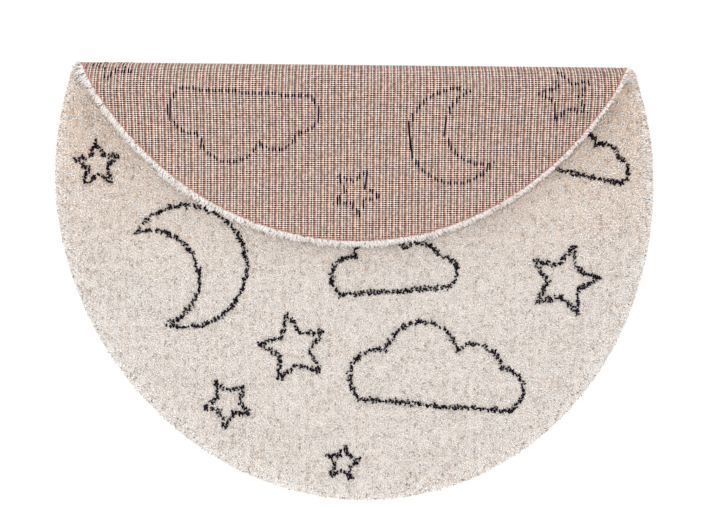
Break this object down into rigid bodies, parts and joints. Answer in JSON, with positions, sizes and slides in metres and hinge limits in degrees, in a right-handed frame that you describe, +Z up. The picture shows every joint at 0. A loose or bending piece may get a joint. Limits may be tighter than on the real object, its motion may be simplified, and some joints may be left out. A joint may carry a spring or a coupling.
{
  "type": "round kids rug",
  "caption": "Round cream shag rug for a child's room, lying on the floor with its far part folded forward to show the woven back.",
  "frame": {"origin": "middle of the round, on the floor, at the back of the ground weave", "axes": "+X along the fold, +Y towards the folded side, +Z up out of the pile"},
  "size_m": [1.1882, 0.8614, 0.0771],
  "materials": {
    "pile": "long curled cream yarn, matte",
    "drawing_yarn": "near-black pile yarn, matte",
    "woven_back": "flat weave of cream, brown and salmon yarn, matte"
  },
  "bodies": {
    "root": {"rug": "pile"}
  },
  "joints": []
}
